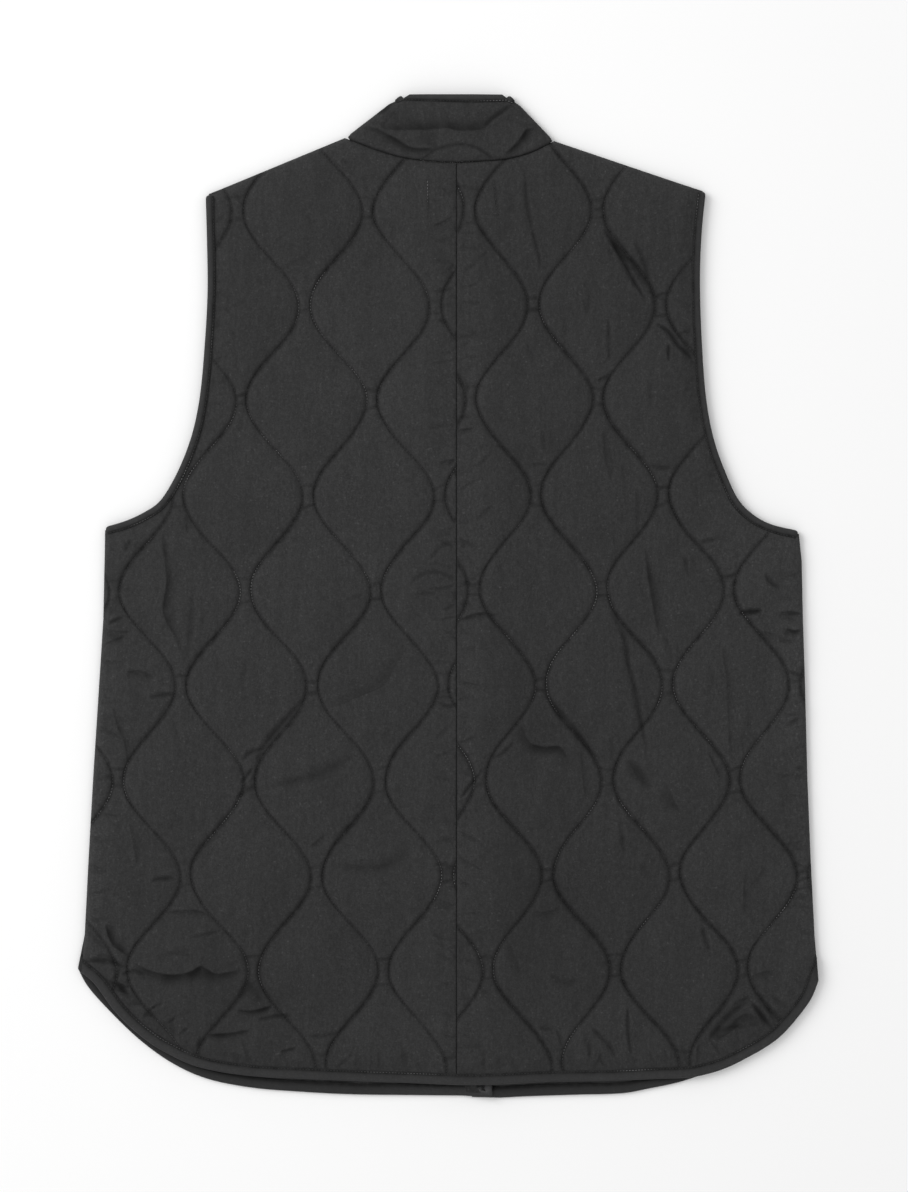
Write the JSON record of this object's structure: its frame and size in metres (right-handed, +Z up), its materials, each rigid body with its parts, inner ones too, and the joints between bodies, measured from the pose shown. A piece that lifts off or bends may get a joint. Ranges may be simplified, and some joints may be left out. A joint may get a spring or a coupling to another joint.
{
  "type": "quilted vest",
  "caption": "Sleeveless quilted vest with stand collar and bound edges, laid flat on its front with its back up, in an onion-shaped quilting of wavy stitch lines.",
  "frame": {"origin": "middle of the vest's footprint on the surface that it lies on", "axes": "+Z up out of the surface, +Y from the hem to the collar, +X to the wearer's right; the vest lies on its front with its back up"},
  "size_m": [0.5784, 0.7836, 0.0111],
  "materials": {
    "quilted_cloth": "charcoal plain weave over thin wadding, soft matt sheen, quilted in wavy lines",
    "binding_tape": "charcoal binding tape, folded over the edge and stitched down"
  },
  "bodies": {
    "root": {"back_left": "quilted_cloth", "back_right": "quilted_cloth", "front_left": "quilted_cloth", "front_right": "quilted_cloth", "collar": "quilted_cloth", "collar_binding": "binding_tape", "armhole_binding_left": "binding_tape", "armhole_binding_right": "binding_tape", "hem_binding_back": "binding_tape", "front_binding_left": "binding_tape", "front_binding_right": "binding_tape"}
  },
  "joints": []
}
